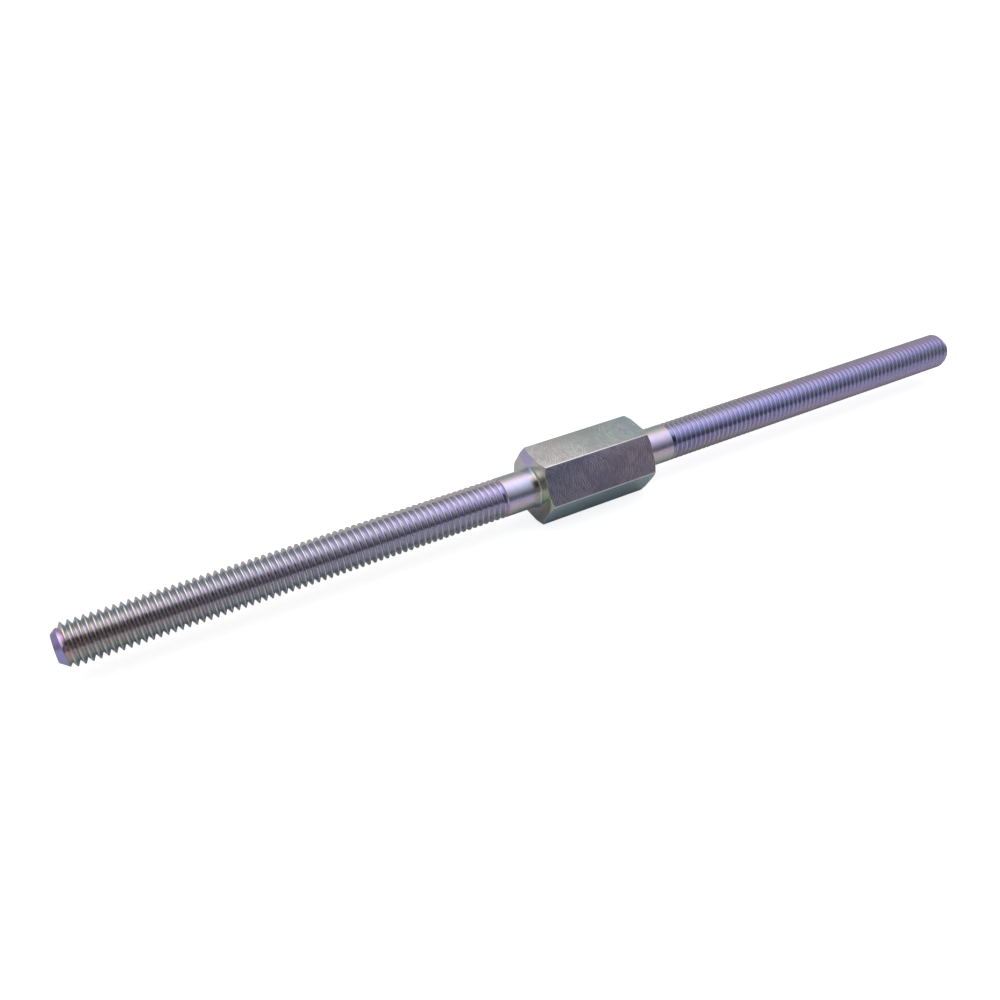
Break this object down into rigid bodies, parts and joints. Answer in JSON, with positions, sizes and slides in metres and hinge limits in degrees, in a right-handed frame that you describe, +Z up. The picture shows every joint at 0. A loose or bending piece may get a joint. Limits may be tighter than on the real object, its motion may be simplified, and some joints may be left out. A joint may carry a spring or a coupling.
{
  "type": "rigging turnbuckle screw",
  "caption": "Double-ended rigging turnbuckle screw with a central spanner hexagon, plain necks, and a right-hand and a left-hand threaded stud.",
  "frame": {"origin": "centre of the hexagon on the screw's axis, halfway between the two stud ends", "axes": "+X along the screw towards the end of the left-hand stud, +Z up through a hexagon flat, +Y towards a hexagon corner"},
  "size_m": [0.327, 0.0256, 0.0222],
  "materials": {
    "hex_zinc": "milled flats with a bright iridescent zinc plate",
    "stud_zinc": "turned and threaded with a bright iridescent zinc plate"
  },
  "bodies": {
    "root": {"hex_body": "hex_zinc", "right_hand_stud": "stud_zinc", "left_hand_stud": "stud_zinc"}
  },
  "joints": []
}
